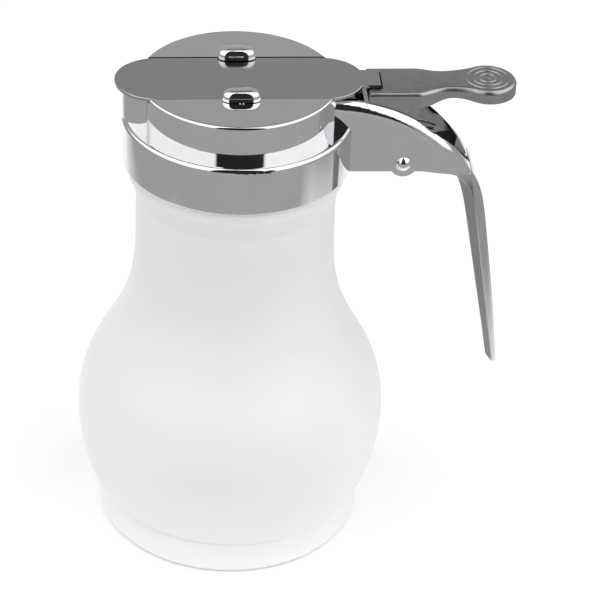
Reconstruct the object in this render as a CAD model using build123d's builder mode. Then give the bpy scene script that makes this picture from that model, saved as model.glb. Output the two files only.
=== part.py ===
from build123d import *
import math
import os

# Thumb-lever dispenser: blow-moulded bottle, screw-on cast top, sliding gate,
# thumb lever, cross pin and return spring.
# Millimetres. Origin at the centre of the bottle's base, +Z up, the pouring
# nose towards -X, the handle towards +X.

# ---------------------------------------------------------------- dimensions
# bottle
WALL = 1.6                 # bottle wall
BASE_T = 2.4               # bottle floor
R_BASE_EDGE = 37.9         # where the base rests
R_BAND = 39.7              # straight band above the base
Z_BAND = 10.6              # top of that band
NECK_R = 28.2              # neck finish, outside
NECK_BORE_R = 26.4         # neck finish, inside
NECK_TOP = 134.2
THREAD_R = 29.25           # crest of the bottle's thread
THREAD_PITCH = 4.0
THREAD_TURNS = 1.4
BEAD_R = 31.6              # bead under the collar
BEAD_TOP = 123.0

# top casting
COLLAR_R = 33.5
COLLAR_BOTTOM = 123.7
COLLAR_BORE_R = 29.9
LEDGE_Z = 138.5            # ledge around the raised platform
RIM_ROUND = 1.35
PLAT_ROUND = 0.9
CEILING_Z = 136.5          # face the gasket seats on
PLAT_R = 28.7
PLAT_TOP = 149.3
PLAT_BORE_R = 26.2
ROOF_T = 3.3
GROOVE_Z = 148.0           # floor of the groove the gate runs in
NOSE_R = 11.5
NOSE_X = -22.0             # NOSE_R + |NOSE_X| = COLLAR_R
PORT_R = 5.2               # pouring opening in the nose
PORT_X = -25.7

# gate (slide plate)
GATE_HALF = 12.0
GATE_GAP = 0.32            # side gap to the groove
GATE_Z0 = 148.3
GATE_T = 0.9
GATE_X0 = -35.5            # left tip
GATE_X1 = 36.0             # right tip
TAB_HALF = 4.5
TAB_X1 = 40.35
HOOK_Z0 = 141.4

# guide studs
STUD_LEN = 11.0
STUD_IN = 9.5              # inner and outer face, distance from the centre line
STUD_OUT = 15.0
STUD_H = 3.0
STUD_SHANK_R = 1.2
STUD_SHANK_Y = 13.8

# handle
HANDLE_HALF = 10.2
HANDLE_LOW = 124.1         # lower edge of the channel's walls
CHANNEL_HALF = 8.3
SHOULDER_R = 3.2
PIN_X = 47.45
PIN_Z = 126.3
PIN_R = 1.5
PIN_FIT = 0.05
PIN_HEAD_R = 2.3
PIN_HEAD_H = 1.35
BOSS_R = 4.1

# lever
LEVER_HALF = 7.9
LEVER_WALL = 1.9
LEVER_X0 = 37.1
LEVER_X1 = 51.1
LEVER_Z = 148.2
PAD_X = 71.6
PAD_R = 8.4
PAD_Z = 148.9
PAD_UNDER = 144.9
RING_R = (2.35, 4.2, 6.1)   # rings cast on the thumb pad
LEVER_BOSS_R = 3.6
NOTCH_HALF = TAB_HALF + 0.4
NOTCH_X = 41.0
LEVER_BAR_TOP = 143.6

# spring
COIL_R = 3.0
WIRE_R = 0.4
COIL_TURNS = 5
COIL_PITCH = 1.1

os.makedirs("parts", exist_ok=True)

# -------------------------------------------------------------------- bottle
# Outside profile from the base band up to the bead under the collar.
body_pts = [
    (40.9, 12.2), (42.75, 16.5), (44.6, 22.6), (45.94, 29.8), (46.46, 35.6),
    (46.34, 40.9), (45.39, 46.5), (43.65, 52.1), (41.06, 57.7), (37.9, 63.3),
    (35.1, 68.9), (32.85, 74.4), (31.25, 80.0), (30.2, 85.6), (29.6, 91.2),
    (29.35, 97.5), (29.3, 104.5), (29.3, 112.8),
]


def inset(points, d):
    """Move each point of a rising profile inwards by d, along its normal."""
    out = []
    for i, (r, z) in enumerate(points):
        a = points[max(i - 1, 0)]
        b = points[min(i + 1, len(points) - 1)]
        tr, tz = b[0] - a[0], b[1] - a[1]
        n = math.hypot(tr, tz)
        out.append((r - d * tz / n, z + d * tr / n))
    return out


inner_pts = inset(body_pts, WALL)
inner_pts = [p for p in inner_pts if p[1] > 13.0 and p[1] < 112.0]

with BuildPart() as bottle:
    with BuildSketch(Plane.XZ):
        with BuildLine():
            # base, with a shallow ring recess
            Line((0, 0), (12, 0))
            Line((12, 0), (13.2, 0.7))
            Line((13.2, 0.7), (30.4, 0.7))
            Line((30.4, 0.7), (31.6, 0))
            Line((31.6, 0), (R_BASE_EDGE, 0))
            ThreePointArc((R_BASE_EDGE, 0), (39.2, 0.62), (R_BAND, 2.1))
            Line((R_BAND, 2.1), (R_BAND, Z_BAND))
            ThreePointArc((R_BAND, Z_BAND), (40.05, 11.7), body_pts[0])
            Spline(*body_pts, tangents=((0.9, 2.0), (0, 1.0)))
            # shoulder bead under the collar
            Line(body_pts[-1], (31.3, 118.6))
            ThreePointArc((31.3, 118.6), (31.6, 119.3), (BEAD_R, 120.0))
            Line((BEAD_R, 120.0), (BEAD_R, BEAD_TOP - 0.7))
            ThreePointArc((BEAD_R, BEAD_TOP - 0.7), (31.4, BEAD_TOP - 0.2), (30.9, BEAD_TOP))
            Line((30.9, BEAD_TOP), (NECK_R, BEAD_TOP))
            # neck finish
            Line((NECK_R, BEAD_TOP), (NECK_R, NECK_TOP - 0.5))
            Line((NECK_R, NECK_TOP - 0.5), (NECK_R - 0.5, NECK_TOP))
            Line((NECK_R - 0.5, NECK_TOP), (NECK_BORE_R + 0.3, NECK_TOP))
            Line((NECK_BORE_R + 0.3, NECK_TOP), (NECK_BORE_R, NECK_TOP - 0.3))
            Line((NECK_BORE_R, NECK_TOP - 0.3), (NECK_BORE_R, 119.0))
            Line((NECK_BORE_R, 119.0), inner_pts[-1])
            # inside of the body, and the floor
            Spline(*reversed(inner_pts), tangents=((0, -1.0), (-0.9, -2.0)))
            Line(inner_pts[0], (R_BAND - WALL - 0.2, 9.0))
            Line((R_BAND - WALL - 0.2, 9.0), (R_BAND - WALL - 0.2, BASE_T + 2.5))
            ThreePointArc((R_BAND - WALL - 0.2, BASE_T + 2.5), (R_BAND - WALL - 0.95, BASE_T + 0.75), (R_BAND - WALL - 2.7, BASE_T))
            Line((R_BAND - WALL - 2.7, BASE_T), (0, BASE_T))
            Line((0, BASE_T), (0, 0))
        make_face()
    revolve(axis=Axis.Z)
    # external thread of the neck finish
    with BuildLine(Plane.XY.offset(126.2)) as thread_path:
        Helix(pitch=THREAD_PITCH, height=THREAD_PITCH * THREAD_TURNS, radius=NECK_R - 0.1)
    with BuildSketch(Plane(origin=(NECK_R - 0.1, 0, 126.2), x_dir=(1, 0, 0), z_dir=(0, 1, 0))):
        with BuildLine():
            Polyline((0, -1.2), (THREAD_R - NECK_R + 0.1, -0.45), (THREAD_R - NECK_R + 0.1, 0.45), (0, 1.2), close=True)
        make_face()
    sweep(path=thread_path.line, is_frenet=True)

# -------------------------------------------------------------------- gasket
with BuildPart() as rim_gasket:
    with BuildSketch(Plane.XY.offset(134.55)):
        Circle(29.6)
        Circle(26.5, mode=Mode.SUBTRACT)
    extrude(amount=CEILING_Z - 0.05 - 134.55)
    fillet(rim_gasket.edges().filter_by(GeomType.CIRCLE), 0.35)

# --------------------------------------------------------------- top casting
# Side view of the handle's root and channel walls.
crest = [
    (20.0, 147.3), (27.0, 146.9), (33.0, 146.2), (38.0, 145.2), (42.0, 144.0),
    (46.0, 142.5), (50.0, 140.4), (54.0, 137.6), (58.0, 134.2), (61.5, 130.7),
    (64.6, 126.9), (67.3, 122.9), (69.35, 118.9), (70.35, 116.4), (71.2, 113.6),
]
with BuildPart() as root:
    with BuildSketch(Plane.XZ):
        with BuildLine():
            Spline(*crest)
            Line(crest[-1], (69.0, 113.6))
            Spline((69.0, 113.6), (67.7, 116.8), (65.7, 119.7), (62.5, 121.7), (57.0, 123.1), (52.4, 123.9), tangents=((-0.3, 1.0), (-1.0, 0.08)))
            Line((52.4, 123.9), (20.0, HANDLE_LOW))
            Line((20.0, HANDLE_LOW), crest[0])
        make_face()
        with Locations((PIN_X, PIN_Z)):
            Circle(BOSS_R)
    extrude(amount=HANDLE_HALF, both=True)
    # rounded shoulders along both crests
    fillet(root.edges().filter_by(lambda e: e.center().Z > 124 and abs(abs(e.center().Y) - HANDLE_HALF) < 0.01 and e.length > 40 and e.center().Z > 128), SHOULDER_R)
    # the walls draw in towards the tail
    with BuildSketch(Plane.XY.offset(105.0)):
        with BuildLine():
            Spline((72.5, 6.3), (69.5, 7.0), (66.0, 7.95), (60.0, 9.3), (54.0, HANDLE_HALF), tangents=((-1, 0.2), (-1, 0.0)))
            Line((54.0, HANDLE_HALF), (19.0, HANDLE_HALF))
            Line((19.0, HANDLE_HALF), (19.0, -HANDLE_HALF))
            Line((19.0, -HANDLE_HALF), (54.0, -HANDLE_HALF))
            Spline((54.0, -HANDLE_HALF), (60.0, -9.3), (66.0, -7.95), (69.5, -7.0), (72.5, -6.3), tangents=((1, 0.0), (1, 0.2)))
            Line((72.5, -6.3), (72.5, 6.3))
        make_face()
    extrude(amount=50, mode=Mode.INTERSECT)

# The space between the channel's walls.
with BuildPart() as channel:
    with BuildSketch(Plane.XZ):
        with BuildLine():
            Line((35.4, 152), (35.4, 118))
            Line((35.4, 118), (52.6, 118))
            Line((52.6, 118), (52.6, 125.9))
            Spline((52.6, 125.9), (57.0, 125.3), (61.0, 124.2), (64.0, 122.8), (67.6, 121.4), (72.0, 120.2))
            Line((72.0, 120.2), (72.0, 152))
            Line((72.0, 152), (35.4, 152))
        make_face()
    extrude(amount=CHANNEL_HALF, both=True)
    with BuildSketch(Plane.XY.offset(110.0)):
        with BuildLine():
            Line((30.0, CHANNEL_HALF), (54.0, CHANNEL_HALF))
            Spline((54.0, CHANNEL_HALF), (59.5, 7.4), (64.5, 5.3), (67.9, 1.6), (68.2, 0), tangents=((1, 0), (0, -1)))
            Spline((68.2, 0), (67.9, -1.6), (64.5, -5.3), (59.5, -7.4), (54.0, -CHANNEL_HALF), tangents=((0, -1), (-1, 0)))
            Line((54.0, -CHANNEL_HALF), (30.0, -CHANNEL_HALF))
            Line((30.0, -CHANNEL_HALF), (30.0, CHANNEL_HALF))
        make_face()
    extrude(amount=50, mode=Mode.INTERSECT)

# Tail of the handle: z, inner x, outer x, half width.
tail_rows = [
    (121.4, 62.6, 68.3, 7.75), (112.0, 66.4, 72.1, 7.0), (102.0, 68.5, 73.9, 6.45),
    (92.0, 70.4, 75.4, 6.05), (82.0, 72.3, 76.9, 5.75), (72.0, 74.2, 78.3, 5.5),
    (62.0, 76.1, 79.55, 5.25), (52.0, 77.8, 80.6, 5.0),
]
with BuildPart() as tail:
    for z, xi, xo, h in tail_rows:
        with BuildSketch(Plane.XY.offset(z)):
            with BuildLine():
                xr = xi + 0.52 * (xo - xi)
                Polyline((xo - 0.7, h), (xr, h), (xi, 0.52 * h), (xi, -0.52 * h), (xr, -h), (xo - 0.7, -h), (xo, -h + 0.9), (xo, h - 0.9), close=True)
            make_face()
    loft()
    # lower end, its inner corner rounded
    with BuildSketch(Plane.XZ):
        with BuildLine():
            Polyline((85, 53.0), (85, 125), (55, 125), (55, 56.6), (77.0, 56.6))
            ThreePointArc((77.0, 56.6), (77.75, 54.1), (79.9, 53.0))
            Line((79.9, 53.0), (85, 53.0))
        make_face()
    extrude(amount=20, both=True, mode=Mode.INTERSECT)

with BuildPart() as cap:
    # collar and raised platform, with rounded rims
    with BuildSketch(Plane.XZ):
        with BuildLine():
            q = 1 - math.sqrt(0.5)
            Line((0, CEILING_Z), (0, PLAT_TOP))
            Line((0, PLAT_TOP), (PLAT_R - PLAT_ROUND, PLAT_TOP))
            ThreePointArc((PLAT_R - PLAT_ROUND, PLAT_TOP), (PLAT_R - q * PLAT_ROUND, PLAT_TOP - q * PLAT_ROUND), (PLAT_R, PLAT_TOP - PLAT_ROUND))
            Line((PLAT_R, PLAT_TOP - PLAT_ROUND), (PLAT_R, LEDGE_Z))
            Line((PLAT_R, LEDGE_Z), (COLLAR_R - RIM_ROUND, LEDGE_Z))
            ThreePointArc((COLLAR_R - RIM_ROUND, LEDGE_Z), (COLLAR_R - q * RIM_ROUND, LEDGE_Z - q * RIM_ROUND), (COLLAR_R, LEDGE_Z - RIM_ROUND))
            Line((COLLAR_R, LEDGE_Z - RIM_ROUND), (COLLAR_R, COLLAR_BOTTOM + 0.5))
            ThreePointArc((COLLAR_R, COLLAR_BOTTOM + 0.5), (COLLAR_R - q * 0.5, COLLAR_BOTTOM + q * 0.5), (COLLAR_R - 0.5, COLLAR_BOTTOM))
            Line((COLLAR_R - 0.5, COLLAR_BOTTOM), (COLLAR_BORE_R, COLLAR_BOTTOM))
            Line((COLLAR_BORE_R, COLLAR_BOTTOM), (COLLAR_BORE_R, CEILING_Z))
            Line((COLLAR_BORE_R, CEILING_Z), (0, CEILING_Z))
        make_face()
    revolve(axis=Axis.Z)
    # pouring nose, flush with the collar at its tip
    with BuildSketch(Plane.XY.offset(LEDGE_Z - RIM_ROUND - 0.2)):
        with Locations((NOSE_X, 0)):
            Circle(NOSE_R)
        with Locations((NOSE_X / 2, 0)):
            Rectangle(-NOSE_X, 2 * NOSE_R)
    extrude(amount=GROOVE_Z - LEDGE_Z + RIM_ROUND + 0.2)
    # handle
    add(root.part)
    add(tail.part)
    # hollow under the roof, and the threaded bore kept clear of the handle's root
    with BuildSketch(Plane.XY.offset(CEILING_Z - 20)):
        Circle(PLAT_BORE_R)
    extrude(amount=PLAT_TOP - ROOF_T - CEILING_Z + 20, mode=Mode.SUBTRACT)
    with BuildSketch(Plane.XY.offset(COLLAR_BOTTOM - 5)):
        Circle(COLLAR_BORE_R)
    extrude(amount=CEILING_Z - COLLAR_BOTTOM + 5, mode=Mode.SUBTRACT)
    # passage into the nose, and the pouring opening
    with BuildSketch(Plane.XY.offset(LEDGE_Z + 0.2)):
        with Locations((NOSE_X, 0)):
            Circle(NOSE_R - 2.3)
    extrude(amount=PLAT_TOP - ROOF_T - LEDGE_Z - 0.2, mode=Mode.SUBTRACT)
    with BuildSketch(Plane.XY.offset(LEDGE_Z + 1.0)):
        with Locations((PORT_X, 0)):
            Circle(PORT_R)
    extrude(amount=20, mode=Mode.SUBTRACT)
    # groove for the gate
    with BuildSketch(Plane.XY.offset(GROOVE_Z)):
        Rectangle(90, 2 * (GATE_HALF + GATE_GAP))
    extrude(amount=5, mode=Mode.SUBTRACT)
    # channel of the handle
    add(channel.part, mode=Mode.SUBTRACT)
    # cross bore for the pin
    with BuildSketch(Plane.XZ):
        with Locations((PIN_X, PIN_Z)):
            Circle(PIN_R + PIN_FIT)
    extrude(amount=HANDLE_HALF + 2, both=True, mode=Mode.SUBTRACT)
    # holes for the guide studs
    with BuildSketch(Plane.XY.offset(PLAT_TOP - ROOF_T - 2)):
        with Locations((0, STUD_SHANK_Y), (0, -STUD_SHANK_Y)):
            Circle(STUD_SHANK_R + 0.05)
    extrude(amount=ROOF_T + 6, mode=Mode.SUBTRACT)

# ---------------------------------------------------------------------- gate
with BuildPart() as slide_plate:
    with BuildSketch(Plane.XY.offset(GATE_Z0)):
        with Locations(((GATE_X0 + GATE_X1) / 2, 0)):
            SlotOverall(GATE_X1 - GATE_X0, 2 * GATE_HALF)
        with Locations(((30 + TAB_X1) / 2, 0)):
            Rectangle(TAB_X1 - 30, 2 * TAB_HALF)
    extrude(amount=GATE_T)
    # the tab's end turns down into the lever
    with BuildSketch(Plane.XY.offset(HOOK_Z0)):
        with Locations((TAB_X1 - GATE_T / 2, 0)):
            Rectangle(GATE_T, 2 * TAB_HALF)
    extrude(amount=GATE_Z0 - HOOK_Z0 + 0.3)
    fillet(slide_plate.edges().filter_by(Axis.Y).sort_by(Axis.X)[-1:].sort_by(Axis.Z)[-1:], 0.5)
    fillet(slide_plate.faces().sort_by(Axis.Z)[-1].edges().filter_by(lambda e: e.length > 20), 0.2)


# --------------------------------------------------------------- guide studs
def stud_builder(side):
    with BuildPart() as stud:
        # pillow-shaped head, reaching over the gate's edge
        with BuildSketch(Plane.XY.offset(PLAT_TOP + 0.2)):
            with Locations((0, side * (STUD_IN + STUD_OUT) / 2)):
                RectangleRounded(STUD_LEN, STUD_OUT - STUD_IN, 2.6)
        extrude(amount=STUD_H)
        fillet(stud.faces().sort_by(Axis.Z)[-1].edges(), 2.45)
        fillet(stud.faces().sort_by(Axis.Z)[0].edges(), 0.25)
        # foot on the platform, shank, and the riveted end underneath
        with BuildSketch(Plane.XY.offset(PLAT_TOP + 0.02)):
            with Locations((0, side * STUD_SHANK_Y)):
                Circle(1.15)
        extrude(amount=0.5)
        with BuildSketch(Plane.XY.offset(PLAT_TOP - ROOF_T - 0.8)):
            with Locations((0, side * STUD_SHANK_Y)):
                Circle(STUD_SHANK_R)
        extrude(amount=ROOF_T + 1.5)
        with BuildSketch(Plane.XY.offset(PLAT_TOP - ROOF_T - 0.9)):
            with Locations((0, side * STUD_SHANK_Y)):
                Circle(2.1)
        extrude(amount=0.85)
    return stud


front_stud = stud_builder(-1)
rear_stud = stud_builder(1)

# --------------------------------------------------------------------- lever
with BuildPart() as thumb_lever:
    # block with its two cheeks: side view
    with BuildSketch(Plane.XZ):
        with BuildLine():
            Line((LEVER_X0, LEVER_Z), (LEVER_X0, 137.2))
            Line((LEVER_X0, 137.2), (PIN_X - 3.35, PIN_Z - 0.9))
            ThreePointArc((PIN_X - 3.35, PIN_Z - 0.9), (PIN_X, PIN_Z - LEVER_BOSS_R), (PIN_X + LEVER_BOSS_R, PIN_Z))
            Line((PIN_X + LEVER_BOSS_R, PIN_Z), (LEVER_X1, 143.4))
            Spline((LEVER_X1, 143.4), (54.6, 143.7), (57.4, 144.8), (60.3, 145.6), (64.0, 145.5), (68.0, 144.95), (72.0, PAD_UNDER), tangents=((1, 0.0), (1, 0)))
            Line((72.0, PAD_UNDER), (PAD_X + PAD_R + 1, PAD_UNDER))
            Line((PAD_X + PAD_R + 1, PAD_UNDER), (PAD_X + PAD_R + 1, PAD_Z))
            Line((PAD_X + PAD_R + 1, PAD_Z), (66.0, PAD_Z))
            Spline((66.0, PAD_Z), (60.0, 148.75), (54.0, 148.35), (49.0, LEVER_Z), tangents=((-1, 0), (-1, 0)))
            Line((49.0, LEVER_Z), (LEVER_X0, LEVER_Z))
        make_face()
    extrude(amount=PAD_R + 2, both=True)
    # plan view: block, neck and round pad
    with BuildSketch(Plane.XY.offset(115)):
        with BuildLine():
            Line((LEVER_X0, -LEVER_HALF), (51.6, -LEVER_HALF))
            Spline((51.6, -LEVER_HALF), (54.4, -6.9), (58.6, -5.7), (62.4, -5.9), (66.2, -6.45), tangents=((1, 0.12), (1, -0.35)))
            Line((66.2, -6.45), (66.2, 6.45))
            Spline((66.2, 6.45), (62.4, 5.9), (58.6, 5.7), (54.4, 6.9), (51.6, LEVER_HALF), tangents=((-1, -0.35), (-1, 0.12)))
            Line((51.6, LEVER_HALF), (LEVER_X0, LEVER_HALF))
            Line((LEVER_X0, LEVER_HALF), (LEVER_X0, -LEVER_HALF))
        make_face()
        with Locations((PAD_X, 0)):
            Circle(PAD_R)
    extrude(amount=50, mode=Mode.INTERSECT)
    # space between the cheeks, under the web
    with BuildSketch(Plane.XZ):
        with BuildLine():
            Polyline((LEVER_X0 + LEVER_WALL, 146.0), (LEVER_X0 + LEVER_WALL, 118), (56, 118), (56, 142.0), (51.8, 143.2), (49.5, 144.9), (47.5, 146.0), close=True)
        make_face()
    extrude(amount=LEVER_HALF - LEVER_WALL, both=True, mode=Mode.SUBTRACT)
    # opening for the gate's tab, with the bar its hook catches on
    with BuildSketch(Plane.XY.offset(LEVER_BAR_TOP)):
        with Locations(((30 + NOTCH_X) / 2, 0)):
            Rectangle(NOTCH_X - 30, 2 * NOTCH_HALF)
    extrude(amount=10, mode=Mode.SUBTRACT)
    # bore for the pin
    with BuildSketch(Plane.XZ):
        with Locations((PIN_X, PIN_Z)):
            Circle(PIN_R + PIN_FIT)
    extrude(amount=20, both=True, mode=Mode.SUBTRACT)
    # rings on the thumb pad
    for r in RING_R:
        with BuildSketch(Plane.XY.offset(PAD_Z - 0.1)):
            with Locations((PAD_X, 0)):
                Circle(r + 0.3)
                Circle(r - 0.3, mode=Mode.SUBTRACT)
        extrude(amount=0.35)
    with BuildSketch(Plane.XY.offset(PAD_Z - 0.1)):
        with Locations((PAD_X, 0)):
            Circle(0.8)
    extrude(amount=0.35)

# --------------------------------------------------------------- pin, spring
# The pin is one turned piece with a domed head at each end, made upright and
# laid across the handle.
pin_head = HANDLE_HALF + 0.08
dome_rho = (PIN_HEAD_R ** 2 + PIN_HEAD_H ** 2) / (2 * PIN_HEAD_H)
dome_mid = 0.5 * math.asin(PIN_HEAD_R / dome_rho)
dome_x = dome_rho * math.sin(dome_mid)
dome_z = dome_rho * math.cos(dome_mid) - (dome_rho - PIN_HEAD_H)
with BuildPart() as pin_upright:
    with BuildSketch(Plane.XZ):
        with BuildLine():
            Line((0, 0), (0, pin_head + PIN_HEAD_H))
            ThreePointArc((0, pin_head + PIN_HEAD_H), (dome_x, pin_head + dome_z), (PIN_HEAD_R, pin_head))
            Polyline((PIN_HEAD_R, pin_head), (PIN_R, pin_head), (PIN_R, 0), (0, 0))
        make_face()
    revolve(axis=Axis.Z)
    mirror(about=Plane.XY)
with BuildPart() as pivot_pin:
    with Locations(Location((PIN_X, 0, PIN_Z), (90, 0, 0))):
        add(pin_upright.part)

# Torsion spring: coil round the pin, one leg up against the lever's bar, the
# other down to the channel's floor. Made upright and laid round the pin; its
# local x is the object's Z, its local y the object's -X.
coil_len = COIL_TURNS * COIL_PITCH
leg_r = WIRE_R * 0.97
with BuildPart() as spring_upright:
    with BuildLine() as coil_path:
        Helix(pitch=COIL_PITCH, height=coil_len, radius=COIL_R)
    with BuildSketch(Plane(origin=coil_path.line @ 0, z_dir=coil_path.line % 0)):
        Circle(WIRE_R)
    sweep(path=coil_path.line, is_frenet=True)
with BuildPart() as spring_legs:
    with BuildLine() as leg_floor:
        Polyline((COIL_R, 0.15, 0), (COIL_R, -1.0, 0), (126.05 - PIN_Z, PIN_X - 57.0, 0))
    with BuildSketch(Plane(origin=leg_floor.line @ 0, z_dir=(0, -1, 0))):
        Circle(leg_r)
    sweep(path=leg_floor.line, transition=Transition.ROUND)
    with BuildLine() as leg_bar:
        Polyline((COIL_R, -0.15, coil_len), (COIL_R, 1.0, coil_len), (139.8 - PIN_Z, PIN_X - 39.85, coil_len))
    with BuildSketch(Plane(origin=leg_bar.line @ 0, z_dir=(0, 1, 0))):
        Circle(leg_r)
    sweep(path=leg_bar.line, transition=Transition.ROUND)
with BuildPart() as return_spring:
    with Locations(Plane(origin=(PIN_X, coil_len / 2, PIN_Z), x_dir=(0, 0, 1), z_dir=(0, -1, 0)).location):
        add(spring_upright.part)
        add(spring_legs.part)

# -------------------------------------------------------------------- export
for builder, label in (
    (bottle, "bottle"),
    (rim_gasket, "rim_gasket"),
    (cap, "cap"),
    (slide_plate, "slide_plate"),
    (front_stud, "front_stud"),
    (rear_stud, "rear_stud"),
    (thumb_lever, "thumb_lever"),
    (pivot_pin, "pivot_pin"),
    (return_spring, "return_spring"),
):
    builder.part.label = label
    export_step(builder.part, "parts/" + label + ".step")
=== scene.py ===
import bpy, bmesh, math
from mathutils import Vector, Matrix


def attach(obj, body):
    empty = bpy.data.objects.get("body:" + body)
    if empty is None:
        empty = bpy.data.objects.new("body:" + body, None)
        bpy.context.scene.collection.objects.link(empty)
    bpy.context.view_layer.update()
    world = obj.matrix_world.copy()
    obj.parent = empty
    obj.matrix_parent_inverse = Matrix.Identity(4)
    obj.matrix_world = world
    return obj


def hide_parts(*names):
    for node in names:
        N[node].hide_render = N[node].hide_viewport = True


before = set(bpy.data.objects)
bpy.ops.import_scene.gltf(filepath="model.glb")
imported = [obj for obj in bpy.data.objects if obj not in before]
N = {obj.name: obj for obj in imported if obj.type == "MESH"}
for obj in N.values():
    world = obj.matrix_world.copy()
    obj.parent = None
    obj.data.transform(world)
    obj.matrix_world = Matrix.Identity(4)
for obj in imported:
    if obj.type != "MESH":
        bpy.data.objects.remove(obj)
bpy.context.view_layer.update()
MM = 0.001

# ---------------------------------------------------------------- materials


def new_mat(name):
    m = bpy.data.materials.new(name)
    m.use_nodes = True
    nt = m.node_tree
    for n in list(nt.nodes):
        nt.nodes.remove(n)
    out = nt.nodes.new("ShaderNodeOutputMaterial")
    bsdf = nt.nodes.new("ShaderNodeBsdfPrincipled")
    nt.links.new(bsdf.outputs[0], out.inputs[0])
    co = nt.nodes.new("ShaderNodeTexCoord")
    return m, nt, bsdf, co.outputs["Object"]


def noise(nt, co, scale, detail=4.0, rough=0.5, stretch=None):
    if stretch:
        mp = nt.nodes.new("ShaderNodeMapping")
        mp.inputs["Scale"].default_value = stretch
        nt.links.new(co, mp.inputs[0])
        co = mp.outputs[0]
    n = nt.nodes.new("ShaderNodeTexNoise")
    n.inputs["Scale"].default_value = scale
    n.inputs["Detail"].default_value = detail
    n.inputs["Roughness"].default_value = rough
    nt.links.new(co, n.inputs["Vector"])
    return n.outputs["Fac"]


def ramp(nt, fac, a, b, lo=0.3, hi=0.7):
    r = nt.nodes.new("ShaderNodeValToRGB")
    r.color_ramp.elements[0].position = lo
    r.color_ramp.elements[1].position = hi
    r.color_ramp.elements[0].color = (*a, 1)
    r.color_ramp.elements[1].color = (*b, 1)
    nt.links.new(fac, r.inputs[0])
    return r.outputs[0]


def span(nt, fac, a, b, lo=0.3, hi=0.7):
    m = nt.nodes.new("ShaderNodeMapRange")
    m.inputs["From Min"].default_value = lo
    m.inputs["From Max"].default_value = hi
    m.inputs["To Min"].default_value = a
    m.inputs["To Max"].default_value = b
    nt.links.new(fac, m.inputs["Value"])
    return m.outputs[0]


def bump(nt, bsdf, height, strength, distance):
    b = nt.nodes.new("ShaderNodeBump")
    b.inputs["Strength"].default_value = strength
    b.inputs["Distance"].default_value = distance
    nt.links.new(height, b.inputs["Height"])
    nt.links.new(b.outputs[0], bsdf.inputs["Normal"])
    return b


def metal(name, dark, light, r0, r1, scale, bstr=0.0, bdist=0.0001, stretch=None, bscale=None):
    m, nt, bsdf, co = new_mat(name)
    bsdf.inputs["Metallic"].default_value = 1.0
    f = noise(nt, co, scale, 6.0, 0.55, stretch)
    nt.links.new(ramp(nt, f, dark, light), bsdf.inputs["Base Color"])
    nt.links.new(span(nt, f, r0, r1), bsdf.inputs["Roughness"])
    if bstr:
        g = noise(nt, co, bscale or scale * 3, 5.0, 0.6, stretch)
        bump(nt, bsdf, g, bstr, bdist)
    return m


M_CHROME = metal("chrome_plate", (0.70, 0.70, 0.71), (0.76, 0.76, 0.77), 0.035, 0.065, 60.0, 0.05, 0.00002, None, 900.0)
M_BRIGHT = metal("chrome_bright", (0.78, 0.78, 0.79), (0.84, 0.84, 0.85), 0.03, 0.05, 90.0)
M_GATE = metal("stainless_sheet", (0.465, 0.465, 0.47), (0.50, 0.50, 0.505), 0.14, 0.19, 240.0, 0.08, 0.00002, (0.15, 3.0, 1.0), 500.0)
M_LEVER = metal("satin_casting", (0.37, 0.37, 0.375), (0.44, 0.44, 0.445), 0.27, 0.34, 500.0, 0.12, 0.00003, None, 1600.0)
M_SPRING = metal("spring_wire", (0.42, 0.42, 0.43), (0.55, 0.55, 0.56), 0.22, 0.32, 900.0)


def math_in(nt, op, a, b=None):
    n = nt.nodes.new("ShaderNodeMath")
    n.operation = op
    for i, v in enumerate((a, b)):
        if v is None:
            continue
        if isinstance(v, (int, float)):
            n.inputs[i].default_value = v
        else:
            nt.links.new(v, n.inputs[i])
    return n.outputs[0]


def paint_tail_shade(m):
    """Painted shade on the handle's tail: its base colour is darkened there, most of all on its inner bevel facet."""
    nt = m.node_tree
    bsdf = next(n for n in nt.nodes if n.type == "BSDF_PRINCIPLED")
    link = bsdf.inputs["Base Color"].links[0]
    src = link.from_socket
    nt.links.remove(link)
    tc = nt.nodes.new("ShaderNodeTexCoord")
    sp = nt.nodes.new("ShaderNodeSeparateXYZ")
    nt.links.new(tc.outputs["Object"], sp.inputs[0])
    x, z = sp.outputs[0], sp.outputs[2]
    # painted shade mask: the tail below z 0.12 m, darker still on the inner facet
    tail = math_in(nt, "MULTIPLY", span(nt, z, 1.0, 0.0, 0.1165, 0.1225), span(nt, x, 0.0, 1.0, 0.058, 0.061))
    s = math_in(nt, "ADD", x, math_in(nt, "MULTIPLY", z, 0.165))
    inner = span(nt, s, 1.0, 0.0, 0.0877, 0.0882)
    dark = math_in(nt, "MULTIPLY", tail, math_in(nt, "ADD", 0.17, math_in(nt, "MULTIPLY", inner, 0.45)))
    keep = math_in(nt, "SUBTRACT", 1.0, dark)
    mul = nt.nodes.new("ShaderNodeVectorMath")
    mul.operation = "SCALE"
    nt.links.new(src, mul.inputs[0])
    nt.links.new(keep, mul.inputs["Scale"])
    nt.links.new(mul.outputs[0], bsdf.inputs["Base Color"])


# painted shade on the chrome of the handle's tail
paint_tail_shade(M_CHROME)
SEAM = math.radians(29.5)   # the bottle's parting line, from -Y towards +X


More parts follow.
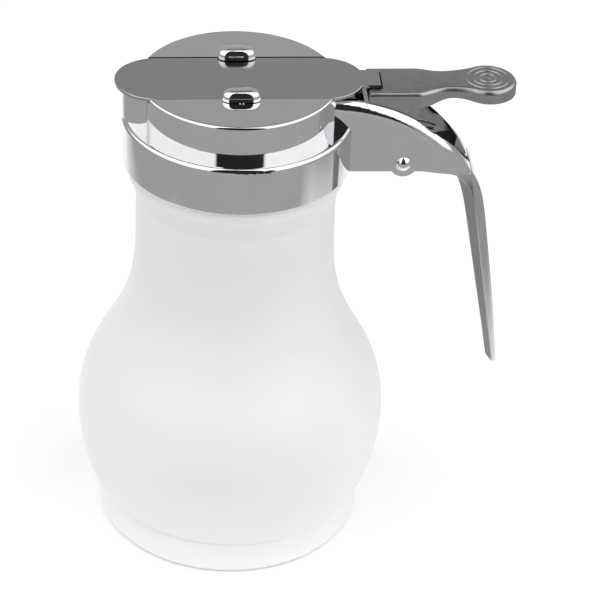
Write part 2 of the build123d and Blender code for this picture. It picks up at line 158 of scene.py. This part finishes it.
def plastic_bottle():
    m, nt, bsdf, co = new_mat("bottle_plastic")
    f = noise(nt, co, 9.0, 3.0, 0.5)
    nt.links.new(span(nt, f, 0.40, 0.46), bsdf.inputs["Roughness"])
    bsdf.inputs["Specular IOR Level"].default_value = 0.35
    bsdf.inputs["Subsurface Weight"].default_value = 0.5
    bsdf.inputs["Subsurface Radius"].default_value = (1.0, 1.0, 1.0)
    bsdf.inputs["Subsurface Scale"].default_value = 0.005
    bsdf.inputs["IOR"].default_value = 1.5
    g = noise(nt, co, 200.0, 3.0, 0.5)
    sp = nt.nodes.new("ShaderNodeSeparateXYZ")
    nt.links.new(co, sp.inputs[0])
    s = math_in(nt, "ADD", math_in(nt, "MULTIPLY", sp.outputs[0], math.cos(SEAM)), math_in(nt, "MULTIPLY", sp.outputs[1], math.sin(SEAM)))
    seam = span(nt, math_in(nt, "ABSOLUTE", s), 1.0, 0.0, 0.0001, 0.0005)
    h = math_in(nt, "ADD", math_in(nt, "MULTIPLY", g, 0.12), seam)
    bump(nt, bsdf, h, 0.35, 0.00012)
    # the base colour is a little darker towards the bottom
    low = span(nt, sp.outputs[2], 0.835, 0.872, 0.004, 0.05)
    tone = math_in(nt, "SUBTRACT", math_in(nt, "ADD", low, math_in(nt, "MULTIPLY", f, 0.02)), math_in(nt, "MULTIPLY", seam, 0.008))
    cmb = nt.nodes.new("ShaderNodeCombineColor")
    nt.links.new(tone, cmb.inputs[0])
    nt.links.new(math_in(nt, "MULTIPLY", tone, 1.002), cmb.inputs[1])
    nt.links.new(math_in(nt, "MULTIPLY", tone, 1.008), cmb.inputs[2])
    nt.links.new(cmb.outputs[0], bsdf.inputs["Base Color"])
    return m


def rubber():
    m, nt, bsdf, co = new_mat("gasket_rubber")
    f = noise(nt, co, 400.0, 4.0, 0.6)
    nt.links.new(ramp(nt, f, (0.70, 0.70, 0.68), (0.80, 0.80, 0.78)), bsdf.inputs["Base Color"])
    nt.links.new(span(nt, f, 0.55, 0.7), bsdf.inputs["Roughness"])
    bump(nt, bsdf, f, 0.2, 0.00005)
    return m


M_BOTTLE = plastic_bottle()
M_GASKET = rubber()


def paint(o, m):
    o.data.materials.clear()
    o.data.materials.append(m)


for node, m in (
    ("bottle", M_BOTTLE), ("rim_gasket", M_GASKET), ("cap", M_CHROME), ("slide_plate", M_GATE),
    ("front_stud", M_BRIGHT), ("rear_stud", M_BRIGHT), ("thumb_lever", M_LEVER),
    ("pivot_pin", M_BRIGHT), ("return_spring", M_SPRING),
):
    paint(N[node], m)

# -------------------------------------------------------------- thumb lever
# Cast lever with rounded edges, drawn in millimetres and scaled to metres.
HALF_PTS = [
    (51.6, 7.9), (53.0, 7.5), (54.6, 6.85), (56.6, 6.1), (58.6, 5.72), (60.6, 5.66), (62.6, 5.85),
    (64.6, 6.25), (66.6, 6.9), (68.4, 7.65), (70.0, 8.2), (71.6, 8.4),
]


def catmull(points, n):
    """Points on a smooth curve through the given ones, n to a stretch."""
    out = []
    for i in range(len(points) - 1):
        p0 = points[max(i - 1, 0)]
        p1, p2 = points[i], points[i + 1]
        p3 = points[min(i + 2, len(points) - 1)]
        for k in range(n):
            t = k / n
            out.append(tuple(
                0.5 * (2 * b + (c - a) * t + (2 * a - 5 * b + 4 * c - d) * t * t + (3 * b - a - 3 * c + d) * t ** 3)
                for a, b, c, d in zip(p0, p1, p2, p3)))
    out.append(tuple(points[-1]))
    return out


def obj_from(name, verts, faces):
    me = bpy.data.meshes.new(name)
    me.from_pydata([tuple(MM * c for c in v) for v in verts], [], faces)
    bm = bmesh.new()
    bm.from_mesh(me)
    bmesh.ops.remove_doubles(bm, verts=bm.verts, dist=1e-8)
    bmesh.ops.recalc_face_normals(bm, faces=bm.faces)
    bm.to_mesh(me)
    bm.free()
    o = bpy.data.objects.new(name, me)
    bpy.context.scene.collection.objects.link(o)
    return o


def lever_top(x):
    t = min(max((x - 49.0) / 17.0, 0.0), 1.0)
    return 148.2 + 0.75 * t * t * (3 - 2 * t)


def lever_outline():
    half = [(x, 7.9) for x in (37.1, 39.0, 41.0, 43.0, 45.0, 47.0, 49.0, 50.6)] + catmull(HALF_PTS, 4)
    for k in range(1, 25):
        a = math.radians(90 - 90 * k / 24)
        half.append((71.6 + 8.4 * math.cos(a), 8.4 * math.sin(a)))
    return half


def lever_body():
    """Plan of the lever as a tall prism, its upper edge rounded."""
    half = lever_outline()
    n = len(half)
    normals = []
    for i in range(n):
        a = half[max(i - 1, 0)]
        b = half[min(i + 1, n - 1)]
        if i == n - 1:
            normals.append((1.0, 0.0))
            continue
        tx, ty = b[0] - a[0], b[1] - a[1]
        l = math.hypot(tx, ty)
        normals.append((-ty / l, tx / l))
    rows = []
    rows.append([(x, y, 112.0) for x, y in half])
    steps = 6
    for k in range(steps + 1):
        phi = math.pi / 2 * k / steps
        row = []
        for (x, y), (nx, ny) in zip(half, normals):
            t = min(max((x - 48.0) / 12.0, 0.0), 1.0)
            r = 1.1 + 0.3 * t
            d = r * (1 - math.cos(phi))
            row.append((x - nx * d, y - ny * d, lever_top(x) - r * (1 - math.sin(phi))))
        rows.append(row)
    verts, faces = [], []
    for side in (1, -1):
        for row in rows:
            for x, y, z in row:
                verts.append((x, side * y, z))
    m = len(rows)

    def at(side, r, i):
        return (0 if side == 1 else m * n) + r * n + i

    for side in (1, -1):
        for r in range(m - 1):
            for i in range(n - 1):
                faces.append((at(side, r, i), at(side, r, i + 1), at(side, r + 1, i + 1), at(side, r + 1, i)))
    for i in range(n - 1):
        faces.append((at(1, m - 1, i), at(1, m - 1, i + 1), at(-1, m - 1, i + 1), at(-1, m - 1, i)))
        faces.append((at(1, 0, i), at(1, 0, i + 1), at(-1, 0, i + 1), at(-1, 0, i)))
    faces.append([at(1, r, 0) for r in range(m)] + [at(-1, r, 0) for r in reversed(range(m))])
    # the tip's two halves share their vertices after merging
    faces = [f for f in faces if len(set(tuple(round(c, 6) for c in verts[v]) for v in f)) > 2]
    return obj_from("lever_plan", verts, faces)


def prism(name, poly, half_y):
    n = len(poly)
    verts = [(x, -half_y, z) for x, z in poly] + [(x, half_y, z) for x, z in poly]
    faces = [tuple(range(n)), tuple(range(2 * n - 1, n - 1, -1))]
    for i in range(n):
        j = (i + 1) % n
        faces.append((i, j, n + j, n + i))
    return obj_from(name, verts, faces)


def boolean(o, other, op):
    mod = o.modifiers.new(op, "BOOLEAN")
    mod.operation = op
    mod.solver = "EXACT"
    mod.object = other
    dg = bpy.context.evaluated_depsgraph_get()
    me = bpy.data.meshes.new_from_object(o.evaluated_get(dg))
    o.modifiers.clear()
    old = o.data
    o.data = me
    bpy.data.meshes.remove(old)
    bpy.data.objects.remove(other)


def arc_pts(cx, cz, r, a0, a1, n):
    return [(cx + r * math.cos(math.radians(a0 + (a1 - a0) * k / n)), cz + r * math.sin(math.radians(a0 + (a1 - a0) * k / n))) for k in range(n + 1)]


def ring_ridge(name, radius, width, height, z0):
    """A raised ring on the pad, round in section; radius 0 gives the centre dot."""
    seg = 72
    prof = [(-width / 2, -0.25), (-width / 2, 0.0), (-width * 0.36, height * 0.55), (-width * 0.2, height * 0.9), (0, height),
            (width * 0.2, height * 0.9), (width * 0.36, height * 0.55), (width / 2, 0.0), (width / 2, -0.25)]
    if radius == 0:
        prof = [p for p in prof if p[0] >= 0] + [(0, -0.25)]
    verts, faces = [], []
    n = len(prof)
    for i in range(seg):
        a = 2 * math.pi * i / seg
        for d, z in prof:
            verts.append((71.6 + (radius + d) * math.cos(a), (radius + d) * math.sin(a), z0 + z))
    for i in range(seg):
        j = (i + 1) % seg
        for k in range(n):
            l = (k + 1) % n
            f = (i * n + k, j * n + k, j * n + l, i * n + l)
            if len(set(tuple(round(c, 6) for c in verts[v]) for v in f)) > 2:
                faces.append(f)
    return obj_from(name, verts, faces)


def soften(o, angle):
    for p in o.data.polygons:
        p.use_smooth = True
    o.data.set_sharp_from_angle(angle=math.radians(angle))


lever = lever_body()
side = [(30.0, 155.0), (30.0, 137.2), (37.1, 137.2), (44.1, 125.4)]
side += arc_pts(47.45, 126.3, 3.6, 195, 360, 14)
side += [(51.1, 143.4)]
side += catmull([(51.1, 143.4), (54.6, 143.75), (57.4, 144.7), (60.3, 145.5), (64.0, 145.5), (68.0, 144.95), (72.0, 144.9)], 4)[1:]
side += [(84.0, 144.9), (84.0, 155.0)]
boolean(lever, prism("cut_side", side, 14.0), "INTERSECT")
boolean(lever, prism("cut_inside", [(39.0, 146.0), (39.0, 118), (56, 118), (56, 142.0), (51.8, 143.2), (49.5, 144.9), (47.5, 146.0)], 6.0), "DIFFERENCE")
boolean(lever, prism("cut_notch", [(30.0, 143.6), (41.0, 143.6), (41.0, 153.0), (30.0, 153.0)], 4.9), "DIFFERENCE")
boolean(lever, prism("cut_bore", arc_pts(47.45, 126.3, 1.55, 0, 360, 40)[:-1], 14.0), "DIFFERENCE")
for rr in (2.35, 4.2, 6.1):
    boolean(lever, ring_ridge("ring", rr, 0.62, 0.24, 148.93), "UNION")
boolean(lever, ring_ridge("dot", 0, 1.9, 0.32, 148.93), "UNION")
lever.name = "thumb_lever_cast"
soften(lever, 38)
lever.data.materials.clear()
lever.data.materials.append(M_LEVER)
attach(lever, "lever")
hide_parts("thumb_lever")

# --------------------------------------------------------------- guide studs
def superpow(v, e):
    return math.copysign(abs(v) ** e, v)


def stud_head(name, side, node):
    """Pillow-shaped head: flat underneath, rounded everywhere else."""
    cx, cy, z0 = 0.0, side * 12.25, 149.5
    hx, hy, h = 5.5, 2.75, 3.0
    rings, seg = 14, 64
    verts = []
    for k in range(rings):
        phi = math.pi / 2 * k / rings
        r = math.cos(phi) ** 0.72
        z = h * math.sin(phi) ** 0.8 if k else 0.0
        for i in range(seg):
            a = 2 * math.pi * i / seg
            c, q = superpow(math.cos(a), 0.62), superpow(math.sin(a), 0.72)
            # the ends close in faster than the long sides
            verts.append((cx + hx * c * (0.35 * r + 0.65 * r ** 0.6), cy + hy * q * r, z0 + z))
    top = len(verts)
    verts.append((cx, cy, z0 + h))
    low = len(verts)
    verts.append((cx, cy, z0))
    faces = []
    for k in range(rings - 1):
        for i in range(seg):
            j = (i + 1) % seg
            faces.append((k * seg + i, k * seg + j, (k + 1) * seg + j, (k + 1) * seg + i))
    for i in range(seg):
        j = (i + 1) % seg
        faces.append(((rings - 1) * seg + i, (rings - 1) * seg + j, top))
        faces.append((j, i, low))
    o = obj_from(name, verts, faces)

    def turned(part, radius, za, zb, n=36):
        vs = [(0.0, side * 13.8, za), (0.0, side * 13.8, zb)]
        fs = []
        for i in range(n):
            t = 2 * math.pi * i / n
            for zz in (za, zb):
                vs.append((radius * math.cos(t), side * 13.8 + radius * math.sin(t), zz))
        for i in range(n):
            j = (i + 1) % n
            fs.append((2 + 2 * i, 2 + 2 * j, 3 + 2 * j, 3 + 2 * i))
            fs.append((0, 2 + 2 * j, 2 + 2 * i))
            fs.append((1, 3 + 2 * i, 3 + 2 * j))
        return obj_from(part, vs, fs)

    # foot on the platform, shank through the roof and its riveted end
    boolean(o, turned("foot", 1.15, 149.32, 150.2), "UNION")
    boolean(o, turned("shank", 1.2, 145.1, 149.8), "UNION")
    boolean(o, turned("rivet", 2.1, 145.1, 145.95), "UNION")
    o.name = name
    soften(o, 40)
    o.data.materials.clear()
    o.data.materials.append(M_BRIGHT)
    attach(o, "top")
    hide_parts(node)
    return o


stud_head("front_stud_head", -1, "front_stud")
stud_head("rear_stud_head", 1, "rear_stud")

# -------------------------------------------------------------------- stage
fm = bpy.data.meshes.new("floor")
fm.from_pydata([(-4, -4, 0), (4, -4, 0), (4, 4, 0), (-4, 4, 0)], [], [(0, 1, 2, 3)])
floor = bpy.data.objects.new("floor", fm)
bpy.context.scene.collection.objects.link(floor)
m, nt, bsdf, co = new_mat("floor_paper")
# white under and behind the object, toned down in front of it and at the sides
sep = nt.nodes.new("ShaderNodeSeparateXYZ")
nt.links.new(co, sep.inputs[0])
front = span(nt, sep.outputs[1], 0.0, 1.0, -0.125, -0.072)
aside = span(nt, math_in(nt, "ABSOLUTE", math_in(nt, "SUBTRACT", sep.outputs[0], 0.02)), 1.0, 0.0, 0.165, 0.235)
fade = span(nt, math_in(nt, "MULTIPLY", front, aside), 0.35, 0.93, 0.0, 1.0)
cr = nt.nodes.new("ShaderNodeCombineColor")
for i in range(3):
    nt.links.new(fade, cr.inputs[i])
nt.links.new(cr.outputs[0], bsdf.inputs["Base Color"])
bsdf.inputs["Roughness"].default_value = 0.9
bsdf.inputs["Specular IOR Level"].default_value = 0.0
floor.data.materials.append(m)

# World: grey studio, two bright side boxes towards the front with a dark gap
# between them, and a bright strip overhead.
w = bpy.data.worlds.new("studio")
bpy.context.scene.world = w
w.use_nodes = True
nt = w.node_tree
for n in list(nt.nodes):
    nt.nodes.remove(n)
out = nt.nodes.new("ShaderNodeOutputWorld")
bg = nt.nodes.new("ShaderNodeBackground")
nt.links.new(bg.outputs[0], out.inputs[0])
tc = nt.nodes.new("ShaderNodeTexCoord")
sp = nt.nodes.new("ShaderNodeSeparateXYZ")
nt.links.new(tc.outputs["Generated"], sp.inputs[0])


def math_node(op, a, b=None, c=None):
    n = nt.nodes.new("ShaderNodeMath")
    n.operation = op
    for i, v in enumerate((a, b, c)):
        if v is None:
            continue
        if isinstance(v, (int, float)):
            n.inputs[i].default_value = v
        else:
            nt.links.new(v, n.inputs[i])
    return n.outputs[0]


def step_up(x, lo, hi):
    m = nt.nodes.new("ShaderNodeMapRange")
    m.interpolation_type = "SMOOTHSTEP"
    m.inputs["From Min"].default_value = lo
    m.inputs["From Max"].default_value = hi
    nt.links.new(x, m.inputs["Value"])
    return m.outputs[0]


X, Y, Z = sp.outputs[0], sp.outputs[1], sp.outputs[2]
# azimuth measured from the camera's side: 0 in front, 90 degrees at the sides
az = math_node("DIVIDE", math_node("ARCTAN2", math_node("ABSOLUTE", math_node("ADD", X, 0.0)), math_node("MULTIPLY", Y, -1.0)), math.pi / 180)
el = math_node("DIVIDE", math_node("ARCSINE", Z), math.pi / 180)
box = math_node("MULTIPLY", step_up(az, 26, 30), math_node("SUBTRACT", 1.0, step_up(az, 118, 140)))
box = math_node("MULTIPLY", box, step_up(el, 9, 18))
top = math_node("MULTIPLY", step_up(el, 79, 80.5), math_node("SUBTRACT", 1.0, step_up(el, 82, 83.5)))
bright = math_node("MAXIMUM", box, top)
front_gap = math_node("MULTIPLY", math_node("SUBTRACT", 1.0, step_up(az, 26, 30)), math_node("SUBTRACT", 1.0, step_up(el, 70, 76)))
rear = math_node("ADD", 0.42, math_node("MULTIPLY", step_up(el, 30, 60), -0.22))
base = math_node("MULTIPLY", rear, math_node("SUBTRACT", 1.0, math_node("MULTIPLY", front_gap, 0.93)))
val = math_node("ADD", math_node("MULTIPLY", bright, 1.6), math_node("MULTIPLY", base, math_node("SUBTRACT", 1.0, bright)))
cc = nt.nodes.new("ShaderNodeCombineColor")
for i in range(3):
    nt.links.new(val, cc.inputs[i])
nt.links.new(cc.outputs[0], bg.inputs["Color"])
bg.inputs["Strength"].default_value = 1.0


def area(name, loc, target, size, power):
    l = bpy.data.lights.new(name, "AREA")
    l.shape = "DISK"
    l.size = size
    l.energy = power
    o = bpy.data.objects.new(name, l)
    bpy.context.scene.collection.objects.link(o)
    o.location = loc
    d = Vector(target) - Vector(loc)
    o.rotation_euler = d.to_track_quat("-Z", "Y").to_euler()
    o.visible_glossy = False
    o.visible_camera = False
    return o


area("key", (0.15, -1.1, 0.75), (0, 0, 0.06), 1.3, 7.0)
area("back", (-0.2, 1.0, 1.0), (0, 0, 0.05), 1.2, 3.5)

# ------------------------------------------------------------------- camera
K = 33.5 / 36.0
az_, el_, roll_ = map(math.radians, (-5.54052051, 33.71052467, 2.49703676))
fw = Vector((-math.sin(az_) * math.cos(el_), math.cos(az_) * math.cos(el_), -math.sin(el_)))
right = Vector((math.cos(az_), math.sin(az_), 0))
up = right.cross(fw)
rt = math.cos(roll_) * right + math.sin(roll_) * up
up2 = -math.sin(roll_) * right + math.cos(roll_) * up
pos = (Vector((21.737, 0, 78.212)) - 900.0 * fw) * K * MM
cam = bpy.data.cameras.new("camera")
cam.sensor_width = 36.0
cam.lens = 2782.442 * 36.0 / 600.0
cam.clip_start = 0.05
cam.clip_end = 20
co_ = bpy.data.objects.new("camera", cam)
bpy.context.scene.collection.objects.link(co_)
rot = Matrix((rt, up2, -fw)).transposed()
co_.matrix_world = Matrix.Translation(pos) @ rot.to_4x4()
bpy.context.scene.camera = co_
bpy.context.scene.view_settings.view_transform = "Standard"
bpy.context.scene.view_settings.look = "None"
